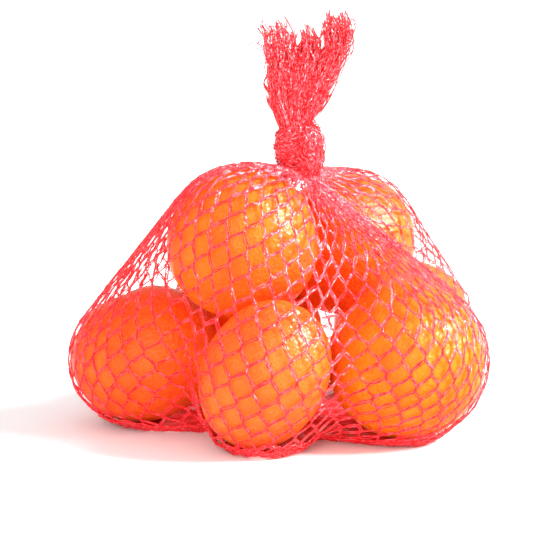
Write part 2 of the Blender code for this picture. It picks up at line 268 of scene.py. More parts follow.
def even_directions(count):
    """Unit vectors spread evenly over a sphere, on a spiral of golden-angle steps."""
    index = np.arange(count) + 0.5
    z = 1 - 2 * index / count
    turn = index * math.pi * (3 - math.sqrt(5))
    ring = np.sqrt(1 - z * z)
    return np.stack([ring * np.cos(turn), ring * np.sin(turn), z], axis=1)


def on_table(centre, across):
    """Whether this clementine rests on the table."""
    return centre[2] < 2 * across


def fruit_shapes():
    """(centre seen from the heart, 3x3 matrix that maps the unit ball to the fruit) of each."""
    shapes = []
    for centre, across, along, core in CLEMENTINES:
        axis = unit(np.array(core))
        stretch = across * np.eye(3) + (along - across) * np.outer(axis, axis)
        shapes.append((np.array(centre) - HEART, stretch))
    return shapes


def hull_distance(directions):
    """How far the taut net lies from the heart along each direction."""
    normals = even_directions(HULL_NORMALS)
    reaches = [
        normals @ centre + np.linalg.norm(normals @ stretch, axis=1)
        for centre, stretch in fruit_shapes()
    ]
    sideways = np.hypot(normals[:, 0], normals[:, 1])
    for (centre, across, *_), radius in zip(CLEMENTINES, FOOT_RADII):
        if on_table(centre, across):
            contact = np.array((*centre[:2], NET_THICKNESS)) - HEART
            reaches.append(normals @ contact + radius * sideways)
    nearness = 1 / (np.max(reaches, axis=0) + NET_THICKNESS)
    return np.array([1 / np.max((normals @ direction) * nearness) for direction in directions])


def fruit_distance(directions):
    """How far the fruit's outermost skin lies from the heart along each direction, or 0."""
    furthest = np.zeros(len(directions))
    for centre, stretch in fruit_shapes():
        to_ball = np.linalg.inv(stretch)
        along = directions @ to_ball.T
        start = to_ball @ -centre
        a = np.sum(along * along, axis=1)
        b = along @ start
        room = b * b - a * (start @ start - 1)
        distance = (-b + np.sqrt(np.maximum(room, 0))) / a
        furthest = np.maximum(furthest, np.where(room > 0, distance, 0))
    return np.where(furthest > 0, furthest + NET_THICKNESS, 0)


def lies_on_table(rays, hull):
    """Where the taut net lies on the table. It is drawn in between the resting fruit."""
    points = rays * hull[:, :, None]
    contacts = [centre for centre, across, *_ in CLEMENTINES if on_table(centre, across)]
    contacts = sorted((math.atan2(y, x), math.hypot(x, y)) for x, y, _ in contacts)
    contacts.append((contacts[0][0] + 2 * math.pi, contacts[0][1]))
    turns, reaches = np.array(contacts).T
    turn = (np.arctan2(points[:, :, 1], points[:, :, 0]) - turns[0]) % (2 * math.pi) + turns[0]
    way = np.interp(turn, turns, np.arange(len(turns)))
    drawn_in = 1 - TUCK * np.sin(math.pi * way) ** 2
    edge = drawn_in * np.interp(turn, turns, reaches) + TUCK_MARGIN
    low = HEART[2] + points[:, :, 2] < ON_TABLE
    return low & (np.hypot(points[:, :, 0], points[:, :, 1]) < edge)


def net_axes(share_down):
    """The axis that a row of the net lies round, leaning to the neck at the top, and two more."""
    share = np.asarray(share_down)[..., None]
    axis = unit(unit(NECK - HEART) * (1 - share) + np.array([0, 0, 1.0]) * share)
    right = unit(np.cross((0.0, 1.0, 0.0), axis))
    return axis, right, np.cross(axis, right)


def net_direction(angle, turn):
    """The direction from the heart at an angle from the neck and a share of a turn round it."""
    axis, right, back = net_axes(angle / math.pi)
    around = 2 * math.pi * turn[..., None]
    sideways = np.cos(around) * right + np.sin(around) * back
    return np.sin(angle)[..., None] * sideways + np.cos(angle)[..., None] * axis


def net_coordinates(directions):
    """The angle and turn of each direction."""
    angle = np.full(directions.shape[:-1], math.pi / 2)
    for _ in range(7):
        axis, right, back = net_axes(angle / math.pi)
        angle = np.arccos(np.clip(np.sum(directions * axis, axis=-1), -1, 1))
    turn = np.arctan2(np.sum(directions * back, axis=-1), np.sum(directions * right, axis=-1))
    return angle, (turn / (2 * math.pi)) % 1


def taut_strands(angles, distance):
    """The distance once each column is pulled straight over what holds it out."""
    points = np.stack([np.sin(angles), np.cos(angles)], axis=1)[:, None, :] * distance[:, :, None]
    leans = np.linspace(0, math.pi, STRAND_LEANS)
    normals = np.stack([np.sin(leans), np.cos(leans)], axis=1)
    reach = np.max(np.einsum("ni,rci->nrc", normals, points), axis=1)
    facing = np.cos(angles[:, None] - leans[None, :])[:, :, None]
    bound = np.where(facing > FACING, reach[None] / np.where(facing > FACING, facing, 1), np.inf)
    return np.min(bound, axis=1)


class Drape:
    """The surface that the net is drawn over: distances from the heart by angle and turn."""

    def __init__(self):
        angles = np.linspace(0, math.pi, DRAPE_ROWS)
        turns = np.arange(DRAPE_TURNS) / DRAPE_TURNS
        rays = net_direction(*np.meshgrid(angles, turns, indexing="ij"))
        hull = hull_distance(rays.reshape(-1, 3)).reshape(rays.shape[:2])
        fruit = fruit_distance(rays.reshape(-1, 3)).reshape(rays.shape[:2])
        held = lies_on_table(rays, hull)
        held[0] = True
        strand = taut_strands(angles, np.where(held, hull, fruit))
        distance = strand + DRAPE * (hull - strand)
        for _ in range(DRAPE_PASSES):
            up = np.vstack([distance[:1], distance[:-1]])
            down = np.vstack([distance[1:], distance[-1:]])
            sides = np.roll(distance, 1, axis=1) + np.roll(distance, -1, axis=1)
            smoother = 0.5 * distance + 0.125 * (up + down + sides)
            distance = np.where(held, hull, np.clip(smoother, fruit, hull))
        distance[0], distance[-1] = distance[0].mean(), distance[-1].mean()
        self.distance = distance

    def reach(self, angle, turn):
        return between(self.distance, angle / math.pi * (DRAPE_ROWS - 1), turn * DRAPE_TURNS)

    def place(self, angle, turn):
        return HEART + net_direction(angle, turn) * self.reach(angle, turn % 1)[..., None]

    def pull(self, points):
        """The points moved straight out or in to the surface."""
        directions = unit(points - HEART)
        return HEART + directions * self.reach(*net_coordinates(directions))[..., None]


# ---- the net's crossings


def level_angles(drape):
    """Angles from the neck, levels by turns, that space the levels evenly along the net."""
    first = math.atan(NECK_RADIUS / np.linalg.norm(NECK - HEART))
    angles = np.linspace(first, math.pi - UNDERSIDE_GATHER, LEVEL_ANGLES)
    turns = np.arange(LEVEL_TURNS) / LEVEL_TURNS
    rings = drape.place(*np.meshgrid(angles, turns, indexing="ij"))
    steps = np.linalg.norm(np.diff(rings, axis=0), axis=2)
    steps = sum(np.roll(steps, shift, axis=1) for shift in range(-3, 4)) / 7
    length = np.vstack([np.zeros(LEVEL_TURNS), np.cumsum(steps, axis=0)])
    columns = [np.interp(np.linspace(0, way[-1], LEVELS), way, angles) for way in length.T]
    return np.stack(columns, axis=1)


def angle_at(table, level, turn):
    """The angle at a level, whole or not, of the net at a turn."""
    return between(table, np.clip(level, 0, LEVELS - 1), (turn % 1) * LEVEL_TURNS)


def crowded(turns):
    """The turns crowded together where the net lies in folds."""
    grid = np.linspace(0, 1, 721)
    density = np.ones_like(grid)
    for at, width, crowding in FOLDS:
        away = (grid - at + 0.5) % 1 - 0.5
        density += crowding * np.exp(-((away / width) ** 2) / 2)
    passed = np.concatenate([[0], np.cumsum((density[1:] + density[:-1]) / 2)])
    return np.floor(turns) + np.interp(turns % 1, passed / passed[-1], grid)


def diamond_sides():
    """Index pairs of the crossings joined by a diamond's side."""
    pairs = []
    for row in range(ROWS - 1):
        for column in range(COLUMNS):
            other = (column - 1 if row % 2 == 0 else column + 1) % COLUMNS
            pairs += [(row * COLUMNS + column, (row + 1) * COLUMNS + c) for c in (column, other)]
    return np.array(pairs)


def net_crossings(drape):
    """The crossings, rows by columns by x, y, z, slid over the drape until no side is overlong.

    The rows lie aslant, so that some are drawn up into the knot on one side of the bag, and on
    the other side as many lie gathered underneath.
    """
    turns = (np.arange(COLUMNS)[None, :] + (np.arange(ROWS)[:, None] % 2) / 2) / COLUMNS
    level = np.arange(ROWS)[:, None] - TILT * (1 - np.cos(2 * math.pi * (turns - TILT_TURN)))
    angles = angle_at(level_angles(drape), level, turns)
    angles += ROW_IN_GATHER * np.maximum(0, level - (LEVELS - 1))
    share = angles / math.pi
    low, high = FOLD_FADES
    hold = eased(np.clip((high - share) / (high - low), 0, 1))
    turns = turns * (1 - hold) + crowded(turns) * hold + TWIST * share / (2 * math.pi)
    points = drape.place(angles, turns)
    points[:, :, 2] += ROW_IN_KNOT * np.maximum(0, -level)
    points = points.reshape(-1, 3)
    start, end = diamond_sides().T
    joined = np.bincount(np.concatenate([start, end]), minlength=len(points))[:, None]
    free = ((level > 0) & (level < LEVELS - 1)).reshape(-1, 1)
    for _ in range(RELAX_PASSES):
        side = points[end] - points[start]
        length = np.linalg.norm(side, axis=1, keepdims=True)
        excess = np.maximum(0, 1 - DIAMOND_SIDE / np.maximum(length, 1e-6))
        slack = side * (RELAX_PULL * excess + RELAX_EVENING)
        move = np.zeros_like(points)
        np.add.at(move, start, slack)
        np.add.at(move, end, -slack)
        points = np.where(free, drape.pull(points + free * move / joined), points)
    return points.reshape(ROWS, COLUMNS, 3)


def crossing_frames(crossings):
    """At each crossing, the unit vector down the net and the one out of it."""
    odd = (np.arange(ROWS) % 2)[:, None] == 1
    near = np.roll(crossings, -1, axis=1), np.roll(crossings, 1, axis=1)
    middles = np.where(odd[..., None], (crossings + near[0]) / 2, (crossings + near[1]) / 2)
    down = np.empty_like(crossings)
    down[1:-1] = middles[2:] - middles[:-2]
    down[0], down[-1] = middles[1] - middles[0], middles[-1] - middles[-2]
    down = unit(down)
    out = np.cross(near[0] - near[1], down)
    out *= np.sign(np.sum(out * (crossings - HEART), axis=-1, keepdims=True))
    return down, unit(out)


# ---- filaments


def smooth_noise(random, count, samples, knots):
    """Random curves, one a row: values about 0 that change evenly along it."""
    coarse = random.normal(0, 1, (count, knots))
    at = np.linspace(0, knots - 1, samples)
    low = np.minimum(at.astype(int), knots - 2)
    share = eased(at - low)
    return coarse[:, low] * (1 - share) + coarse[:, low + 1] * share


def clear_of_fruit(points, clearance):
    """The points that lie in a clementine, or closer to it than the clearance, moved out."""
    for centre, stretch in fruit_shapes():
        shell = stretch + clearance * np.eye(3)
        in_ball = (points - HEART - centre) @ np.linalg.inv(shell)
        depth = np.linalg.norm(in_ball, axis=-1, keepdims=True)
        skin = HEART + centre + (in_ball / np.maximum(depth, 1e-9)) @ shell
        points = np.where(depth < 1, skin, points)
    return points


def along_and_across(paths, outward):
    """The unit vectors along each path, and across it in the surface it lies on."""
    along = unit(np.gradient(paths, axis=1))
    return along, unit(np.cross(along, outward))


def flat_tubes(paths, outward, half_width, half_thickness, twist):
    """Rings of points round each path: tubes by samples by sides by x, y, z."""
    along, across = along_and_across(paths, outward)
    through = np.cross(across, along)
    turn = 2 * math.pi * np.arange(FILAMENT_SIDES) / FILAMENT_SIDES
    x = np.cos(turn) * np.broadcast_to(half_width, paths.shape[:2])[..., None]
    y = np.sin(turn) * np.broadcast_to(half_thickness, paths.shape[:2])[..., None]
    cos, sin = np.cos(twist)[..., None], np.sin(twist)[..., None]
    x, y = (x * cos - y * sin)[..., None], (x * sin + y * cos)[..., None]
    return paths[:, :, None] + x * across[:, :, None] + y * through[:, :, None]


def add_object(name, data):
    obj = bpy.data.objects.new(name, data)
    bpy.context.scene.collection.objects.link(obj)
    return obj


def tube_object(name, rings, material, smooth=True):
    """A mesh of closed tubes, with its two maps."""
    tubes, samples, sides, _ = rings.shape
    index = np.arange(tubes * samples * sides).reshape(tubes, samples, sides)
    after = np.roll(index, -1, axis=2)
    quads = np.stack([index[:, :-1], index[:, 1:], after[:, 1:], after[:, :-1]], axis=-1)
    caps = np.concatenate([index[:, 0], index[:, -1, ::-1]])
    faces = quads.reshape(-1, 4).tolist() + caps.tolist()
    mesh = bpy.data.meshes.new(name)
    mesh.from_pydata(rings.reshape(-1, 3) + FOOT, [], faces)
    mesh.materials.append(material)
    step = np.linalg.norm(np.diff(rings.mean(axis=2), axis=1), axis=-1).mean()
    add_tube_maps(mesh, tubes, samples, sides, step)
    if smooth:
        mesh.shade_smooth()
    return add_object(name, mesh)


def add_tube_maps(mesh, tubes, samples, sides, step):
    """A map for baking, where each tube has a strip of its own, and one in which marks are laid.

    The second runs in millimetres along a tube, and far enough from one tube to the next that
    their marks have nothing in common.
    """
    shape = (tubes, samples, sides)
    tube, sample, side = np.unravel_index(np.arange(math.prod(shape)), shape)
    corners = np.empty(len(mesh.loops), dtype=np.int32)
    mesh.loops.foreach_get("vertex_index", corners)
    tube, sample, side = tube[corners], sample[corners], side[corners]
    on_quads = 4 * tubes * (samples - 1) * sides
    quad_sides = side[:on_quads].reshape(-1, 4)
    closing = (quad_sides == 0) & (quad_sides.max(axis=1, keepdims=True) == sides - 1)
    around = side + sides * np.append(closing.ravel(), np.zeros(len(side) - on_quads, dtype=bool))
    maps = {
        "OFBake": (sample / (samples - 1), (tube + around / (sides + 1)) / tubes),
        "Strand": (sample * step * 1000, tube * STRAND_MAP_STEP + STRAND_MAP_SIDE * around),
    }
    for name, uv in maps.items():
        flat = np.stack(uv, axis=1).astype(np.float32).ravel()
        mesh.uv_layers.new(name=name).data.foreach_set("uv", flat)


def strand_lines(crossings, down, out):
    """Each strand's line of points, and the way out of the net along it.

    A strand runs down the net through one crossing of each row, bearing right or left. At a
    crossing it keeps to the net's own direction for a short way, beside the other strand.
    """
    rows, starts = np.arange(ROWS), np.arange(COLUMNS)[:, None]
    columns = np.vstack([starts + rows // 2, starts - (rows + 1) // 2]) % COLUMNS
    at, lean, face = crossings[rows, columns], down[rows, columns], out[rows, columns]
    spacing = np.linalg.norm(at[:, 1:] - at[:, :-1], axis=-1)
    nearer = np.minimum(spacing[:, 1:], spacing[:, :-1])
    room = np.concatenate([spacing[:, :1], nearer, spacing[:, -1:]], axis=1)
    half_bar = np.minimum(CROSSING_LENGTH / 2, 0.2 * room)[..., None]
    begin, end = (at + half_bar * lean)[:, :-1, None], (at - half_bar * lean)[:, 1:, None]
    t = np.linspace(0, 1, SIDE_STEPS + 1)[:, None]
    pull = 0.45 * np.linalg.norm(end - begin, axis=-1, keepdims=True)
    points = (
        (2 * t**3 - 3 * t**2 + 1) * begin
        + (t**3 - 2 * t**2 + t) * pull * lean[:, :-1, None]
        + (3 * t**2 - 2 * t**3) * end
        + (t**3 - t**2) * pull * lean[:, 1:, None]
    )
    face = unit((1 - t) * face[:, :-1, None] + t * face[:, 1:, None])
    lines = len(columns)
    return points.reshape(lines, -1, 3), face.reshape(lines, -1, 3)


def net_filaments(lines, face):
    """Two flat filaments and a thinner one along each strand, that part between the crossings."""
    random = np.random.default_rng(SEED)
    count, samples = lines.shape[:2]
    _, across = along_and_across(lines, face)
    bow = np.tile(np.sin(np.pi * np.linspace(0, 1, SIDE_STEPS + 1)), ROWS - 1)
    rings = []
    for side, size, wander in ((-1, 1, WANDER), (1, 1, WANDER), (0, THIN_FILAMENT, 2 * WANDER)):
        parting = np.repeat(random.uniform(0.2, 1.8, (count, ROWS - 1)), SIDE_STEPS + 1, axis=1)
        offset = side * (PARTING[0] + (PARTING[1] - PARTING[0]) * bow * parting)
        offset = offset + wander * smooth_noise(random, count, samples, WANDER_KNOTS)
        lift = LIFT * smooth_noise(random, count, samples, WANDER_KNOTS)
        path = lines + offset[..., None] * across + lift[..., None] * face
        path = clear_of_fruit(path, FILAMENT_HALF_WIDTH)
        path[..., 2] = np.maximum(path[..., 2], FILAMENT_HALF_WIDTH)
        twist = FILAMENT_TWIST * smooth_noise(random, count, samples, TWIST_KNOTS)
        unevenness = 1 + 0.15 * smooth_noise(random, count, samples, WIDTH_KNOTS)
        width = FILAMENT_HALF_WIDTH * size * unevenness
        rings.append(flat_tubes(path, face, np.abs(width), FILAMENT_HALF_THICKNESS * size, twist))
    return rings


# ---- the net at the foot


def foot_of_net(drape, turn):
    """The angle at which the net meets the table, at each turn."""
    angles = np.linspace(math.pi / 3, math.pi, FOOT_ANGLES)
    turns = np.arange(DRAPE_TURNS) / DRAPE_TURNS
    heights = drape.place(*np.meshgrid(angles, turns, indexing="ij"))[:, :, 2]
    foot = angles[np.argmax(heights < ON_TABLE, axis=0)]
    return np.interp(turn % 1, np.append(turns, 1), np.append(foot, foot[0]))


def make_hem(drape, material):
    """Slack strands that lie in folds round the foot of the bag."""
    random = np.random.default_rng(SEED + 8)
    strands, samples = HEM_STRANDS, HEM_SAMPLES
    turn = random.uniform(0, 1, (strands, 1)) + np.linspace(0, 1, samples)[None, :]
    cells = HEM_CELLS * turn + random.uniform(0, 1, (strands, 1))
    rise = random.uniform(*HEM_RISE, (strands, 1)) + HEM_ZIGZAG * zigzag(2 * math.pi * cells)
    rise = rise + HEM_WANDER * smooth_noise(random, strands, samples, 70)
    points = drape.place(foot_of_net(drape, turn) - rise, turn)
    outward = unit((points - HEART) * (1, 1, 0.3))
    lift = HEM_LIFT + HEM_LIFT * smooth_noise(random, strands, samples, 60)
    points = clear_of_fruit(points + lift[..., None] * outward, FILAMENT_HALF_WIDTH)
    points[..., 2] = np.maximum(points[..., 2], 1.5 * FILAMENT_HALF_WIDTH)
    return tube_object("net_hem", paired(points, outward, PAIR_GAP, random), material)


def make_gather(drape, material):
    """The slack net under the fruit: drawn together in flat folds that run in from the foot."""
    random = np.random.default_rng(SEED + 9)
    turn = np.arange(GATHER_SIDES) / GATHER_SIDES
    edge = drape.place(foot_of_net(drape, turn), turn)[None, :]
    out = np.linspace(*GATHER_REACH)[:, None]
    shares = np.concatenate([out, out[::-1]])
    folds = sum(
        np.cos(2 * math.pi * number * turn + random.uniform(0, 6.28) + 2.0 * shares)
        for number in GATHER_PLEATS
    ) / len(GATHER_PLEATS)
    points = edge * (1, 1, 0) * shares[..., None]
    top = (np.arange(len(points)) < len(out))[:, None]
    height = GATHER_HEIGHT + GATHER_HEIGHT * folds * np.sin(math.pi * shares)
    points[..., 2] = np.where(top, height, 0.0001)
    points = clear_of_fruit(points, 0.0)
    points[..., 2] = np.where(top, np.maximum(points[..., 2], 0.0003), 0.0001)
    return tube_object("net_gather", points[None], material)


# ---- the knot and the tuft


def paired(paths, outward, gap, random):
    """Two filaments for each path, wandering about it."""
    count, samples = paths.shape[:2]
    _, across = along_and_across(paths, outward)
    rings = []
    for side in (-1, 1):
        offset = side * gap + 0.6 * gap * smooth_noise(random, count, samples, samples // 4)
        lift = 0.5 * gap * smooth_noise(random, count, samples, samples // 4)
        path = paths + offset[..., None] * across + lift[..., None] * outward
        twist = FILAMENT_TWIST * smooth_noise(random, count, samples, samples // 5)
        rings.append(flat_tubes(path, outward, FILAMENT_HALF_WIDTH, FILAMENT_HALF_THICKNESS, twist))
    return np.concatenate(rings)


def level_ball(around, height):
    """Places on a ball that is squared off a little, round its level rings."""
    ring = np.sqrt(1 - height**2) ** LEVEL_ROUNDING
    return np.stack([ring * np.cos(around), ring * np.sin(around), height + 0 * around], axis=-1)


def wound_loop(random, offset, radii, strands, level):
    """Strands wound round one loop of the knot, level or from end to end."""
    samples = LOOP_SAMPLES
    place = (np.arange(strands)[:, None] + random.uniform(0.2, 0.8, (strands, 1))) / strands
    place = place * 2 * LOOP_ENDS - LOOP_ENDS
    wave = 0.060 * smooth_noise(random, strands, samples, 14)
    around = np.linspace(0, 2 * math.pi, samples)[None, :] + random.uniform(0, 6.28, (strands, 1))
    if level:
        height = place + wave + 0.09 * np.cos(around + random.uniform(-0.6, 0.6, (strands, 1)))
        ball = level_ball(around, np.clip(height, -0.97, 0.97))
    else:
        polar = np.linspace(0.10, math.pi - 0.10, samples)[None, :]
        spin = 2 * math.pi * place + 0.5 * polar + 2.2 * wave
        ring = np.sin(polar) ** UPRIGHT_ROUNDING
        ball = np.stack([ring * np.cos(spin), ring * np.sin(spin), np.cos(polar) + 0 * spin], -1)
    outward = unit(ball / np.array(radii))
    depth = 1 + 0.06 * smooth_noise(random, strands, samples, 12)
    return KNOT_CENTRE + np.array(offset) + ball * radii * depth[..., None], outward


def neck_strands(random, drape):
    """Strands that come out of the knot, run down over the net and end in it."""
    strands, samples = NECK_STRANDS, LOOP_SAMPLES
    turn = (np.arange(strands)[:, None] + random.uniform(0, 1, (strands, 1))) / strands
    turn = turn + 0.012 * smooth_noise(random, strands, samples, 9)
    along = np.linspace(0, 1, samples)[None, :]
    inside = np.clip(1 - along / NECK_STRAND_KNOT_SHARE, 0, 1)[..., None]
    leave, *lower = NECK_STRAND_ANGLES
    points = drape.place(leave + random.uniform(*lower, (strands, 1)) * along**1.5, turn)
    outward = unit(points - HEART)
    lift = NECK_STRAND_LIFT + NECK_STRAND_LIFT * smooth_noise(random, strands, samples, 11)
    points = points + lift[..., None] * outward
    side = (points - NECK) * (1, 1, 0)
    into_knot = KNOT_CENTRE + (0.0006, -0.0010, -0.0020) + 0.6 * side
    return points + inside * (into_knot - points), unit(outward + 2 * inside * unit(side))


def make_knot(drape, material):
    random = np.random.default_rng(SEED + 1)
    wound = []
    for size, strands in ((1, LOOP_STRANDS), (INNER_WRAPS, INNER_LOOP_STRANDS)):
        for (offset, radii), count, level in zip((LEFT_LOOP, RIGHT_LOOP), strands, (True, False)):
            wound.append(wound_loop(random, offset, size * np.array(radii), count, level))
    wound.append(neck_strands(random, drape))
    rings = [paired(paths, outward, PAIR_GAP, random) for paths, outward in wound]
    return tube_object("knot_strands", np.concatenate(rings), material)


def make_knot_core(material):
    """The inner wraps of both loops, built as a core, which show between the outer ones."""
    height = np.linspace(0.97, -0.97, CORE_RINGS)[:, None]
    ball = level_ball(2 * math.pi * np.arange(CORE_SIDES)[None, :] / CORE_SIDES, height)
    loops = [
        KNOT_CENTRE + offset + CORE_SHARE * ball * radii
        for offset, radii in (LEFT_LOOP, RIGHT_LOOP)
    ]
    return tube_object("knot_core", np.array(loops), material)


def lobe_section(heights, up):
    """The middle, half width and half depth of a lobe at a height."""
    heights = np.array(heights)
    return [np.interp(up, heights[:, 0], heights[:, measure]) for measure in (1, 2, 3)]


def make_tuft_core(material):
    """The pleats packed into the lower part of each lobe, and the netting between the lobes."""
    around = 2 * math.pi * np.arange(CORE_SIDES)[None, :] / CORE_SIDES
    pleat = 1 + 0.10 * np.cos(7 * around) + 0.06 * np.cos(4 * around)
    share = np.linspace(1, 0, CORE_RINGS)[:, None]
    size = (0.86 - 0.30 * share) * np.sqrt(1 - 0.97 * share**6) * pleat
    parts = []
    for heights, reach in [(lobe, LOBE_CORE_REACH) for lobe in LOBES.values()] + [(WEB, 1.0)]:
        up = reach * heights[-1][0] * share
        middle, half_width, half_depth = lobe_section(heights, up)
        x, y = middle + size * half_width * np.cos(around), size * half_depth * np.sin(around)
        parts.append(np.stack([x, y, up + 0 * around], axis=-1))
    return tube_object("tuft_core", KNOT_CENTRE + np.array(parts), material)


def lobe_strands(random, heights, size, strands):
    """The strands of one shell of a lobe: drawn-out zigzags that meet their neighbours."""
    top = heights[-1][0]
    end = top * (1 - 0.10 * np.abs(random.normal(0, 1, (strands, 1))))
    up = np.linspace(0, 1, LOBE_SAMPLES)[None, :] * end
    middle, half_width, half_depth = lobe_section(heights, up)
    zig = zigzag(math.pi * up / TUFT_CELL + random.normal(0, 0.35, (strands, 1)))
    side = np.where(np.arange(strands) % 2 == 0, 1, -1)[:, None]
    loosened = 0.4 + 1.3 * up / top
    turn = (np.arange(strands)[:, None] + 0.5 * side * zig * loosened) / strands
    turn = turn + 0.25 / strands * loosened * smooth_noise(random, strands, LOBE_SAMPLES, 12)
    around = 2 * math.pi * turn
    pleat = 1 + 0.12 * np.cos(7 * around) + 0.07 * np.cos(4 * around + middle / 0.004)
    pleat = pleat + 0.10 * loosened * smooth_noise(random, strands, LOBE_SAMPLES, 10)
    at_end = np.clip(up / end - 0.88, 0, 1)[..., None] / 0.12
    curl = at_end * random.normal(0, 0.0011, (strands, 1, 3))
    outward = np.stack([np.cos(around) / half_width, np.sin(around) / half_depth, 0 * up], axis=-1)
    x = middle + size * half_width * pleat * np.cos(around)
    y = size * half_depth * pleat * np.sin(around)
    return KNOT_CENTRE + np.stack([x, y, up], axis=-1) + curl, unit(outward)


def stray_filaments(random, heights, count, side):
    """Loose ends that curl away from a lobe's edge or top."""
    share = random.uniform(0.62, 0.97, (count, 1)) if side else np.full((count, 1), 0.95)
    start = heights[-1][0] * share
    middle, half_width, _ = lobe_section(heights, start)
    along = np.linspace(0, 1, LOBE_SAMPLES)[None, :]
    length = random.uniform(*STRAY_LENGTH, (count, 1))
    rise = random.uniform(-0.2, 0.9, (count, 1)) if side else random.uniform(0.6, 1.2, (count, 1))
    curl = random.uniform(-1.0, 1.0, (count, 1)) * along**2
    x = middle + side * 0.8 * half_width + length * along * (side + curl * rise)
    y = random.uniform(-0.0015, 0.0015, (count, 1))
    y = y + 0.0015 * along * random.normal(0, 1, (count, 1))
    z = start + length * (rise * along - side * curl * along)
    points = KNOT_CENTRE + np.stack([x, y, z], axis=-1)
    points = points + 0.00025 * smooth_noise(random, count, LOBE_SAMPLES, 9)[..., None]
    return points, np.broadcast_to((0.0, -1.0, 0.0), points.shape)


def make_lobe(name, heights, material):
    random = np.random.default_rng(SEED + 2 + len(name))
    rings = []
    for size, strands in LOBE_SHELLS:
        paths, outward = lobe_strands(random, heights, size, strands)
        rings.append(paired(paths, outward, LOBE_PAIR_GAP, random))
    paths, outward = stray_filaments(random, heights, *STRAYS[name])
    thin = 0.6 * FILAMENT_HALF_WIDTH
    rings.append(flat_tubes(paths, outward, thin, thin, np.zeros(paths.shape[:2])))
    return tube_object(f"tuft_{name}", np.concatenate(rings), material)


# ---- the clementines


def peel_inset(direction, seed):
    """How far the peel lies inside the fruit's plain oval in this direction."""
    polar = math.acos(max(-1, min(1, direction.z)))
    around = math.atan2(direction.y, direction.x)
    lumps = LUMP_DEPTH * (0.5 + 0.5 * noise.noise(LUMP_SCALE * direction + seed))
    pebbles = PEBBLE_DEPTH * (0.5 + 0.5 * noise.noise(PEBBLE_SCALE * direction + seed))
    depth, reach = DIMPLE
    dimple = depth * math.exp(-((polar / reach) ** 2))
    depth, reach, number = FURROWS
    wander = 1.5 * noise.noise(FURROW_SCALE * direction + seed)
    wave = 0.5 + 0.5 * math.cos(number * around + wander)
    return lumps + pebbles + dimple + depth * math.exp(-((polar / reach) ** 2)) * wave


def add_calyx(peel, along, radius, seed):
    """The dry star of the stem end, with the stub of the stalk in its middle."""
    base = along - peel_inset(Vector((0, 0, 1)), seed) - 0.0001
    rings = []
    for share, rise in CALYX_PROFILE:
        ring = []
        for step in range(CALYX_SIDES):
            turn = 2 * math.pi * step / CALYX_SIDES
            reach = radius * share * (1 + 0.28 * share * math.cos(CALYX_LOBES * turn))
            point = (reach * math.cos(turn), reach * math.sin(turn), base + rise * radius)
            ring.append(peel.verts.new(point))
        rings.append(ring)
    faces = [peel.faces.new(rings[-1])]
    for outer, inner in zip(rings, rings[1:]):
        for step in range(CALYX_SIDES):
            after = (step + 1) % CALYX_SIDES
            faces.append(peel.faces.new((outer[step], outer[after], inner[after], inner[step])))
    faces.append(peel.faces.new(rings[0][::-1]))
    for face in faces:
        face.material_index = 1


def make_clementine(number, centre, across, along, core, calyx_radius, materials):
    seed = Vector((3.1 * number, 1.7 * number, SEED))
    peel = bmesh.new()
    bmesh.ops.create_icosphere(peel, subdivisions=PEEL_FINENESS, radius=1)
    for vert in peel.verts:
        direction = vert.co.normalized()
        oval = Vector((direction.x * across, direction.y * across, direction.z * along))
        vert.co = oval - direction * peel_inset(direction, seed)
    add_calyx(peel, along, calyx_radius, seed)
    mesh = bpy.data.meshes.new(f"clementine_{number}")
    peel.to_mesh(mesh)
    peel.free()
    mesh.transform(Vector((0, 0, 1)).rotation_difference(Vector(core)).to_matrix().to_4x4())
    mesh.shade_smooth()
    for material in materials:
        mesh.materials.append(material)
    fruit = add_object(mesh.name, mesh)
    fruit.location = Vector(FOOT) + Vector(centre)
    return fruit


# ---- materials


def new_material(name):
    """A material, its node tree, its shader and the place on the piece."""
    material = bpy.data.materials.new(name)
    material.use_nodes = True
    tree = material.node_tree
    place = tree.nodes.new("ShaderNodeTexCoord").outputs["Object"]
    return material, tree, tree.nodes["Principled BSDF"], place


def add_node(tree, kind, links=None, **values):
    """A shader node with its named inputs set, and linked from other nodes' outputs."""
    node = tree.nodes.new(kind)
    for name, value in values.items():
        if hasattr(node, name):
            setattr(node, name, value)
        else:
            node.inputs[name.replace("_", " ").title()].default_value = value
    for name, output in (links or {}).items():
        tree.links.new(output, node.inputs[name])
    return node


def noise_at(tree, place, scale, detail, **values):
    values.update(scale=scale, detail=detail)
    return add_node(tree, "ShaderNodeTexNoise", {"Vector": place}, **values).outputs["Fac"]


def add_bump(tree, height, strength, distance, links=None):
    links = {"Height": height, **(links or {})}
    bump = add_node(tree, "ShaderNodeBump", links, strength=strength, distance=distance)
    return bump.outputs["Normal"]


def grey_ramp(tree, value, low, high):
    return colour_ramp(tree, value, ((0.3, (low,) * 3), (0.7, (high,) * 3)))


def finish_shader(tree, shader, links, values):
    """The shader's inputs, linked from these outputs or set to these values."""
    for name, output in links.items():
        tree.links.new(output, shader.inputs[name])
    for name, value in values.items():
        shader.inputs[name].default_value = value


def colour_ramp(tree, value, stops):
    ramp = add_node(tree, "ShaderNodeValToRGB", {"Fac": value})
    elements = ramp.color_ramp.elements
    while len(elements) < len(stops):
        elements.new(0.5)
    for element, (place, colour) in zip(elements, stops):
        element.position = place
        element.color = (*colour, 1)
    return ramp.outputs["Color"]


def mixed(tree, share, first, second, blend="MIX"):
    mix = tree.nodes.new("ShaderNodeMix")
    mix.data_type = "RGBA"
    mix.blend_type = blend
    for socket, source in ((0, share), (6, first), (7, second)):
        if isinstance(source, bpy.types.NodeSocket):
            tree.links.new(source, mix.inputs[socket])
        elif socket == 0:
            mix.inputs[0].default_value = source
        else:
            mix.inputs[socket].default_value = (*source, 1)
    return mix.outputs[2]


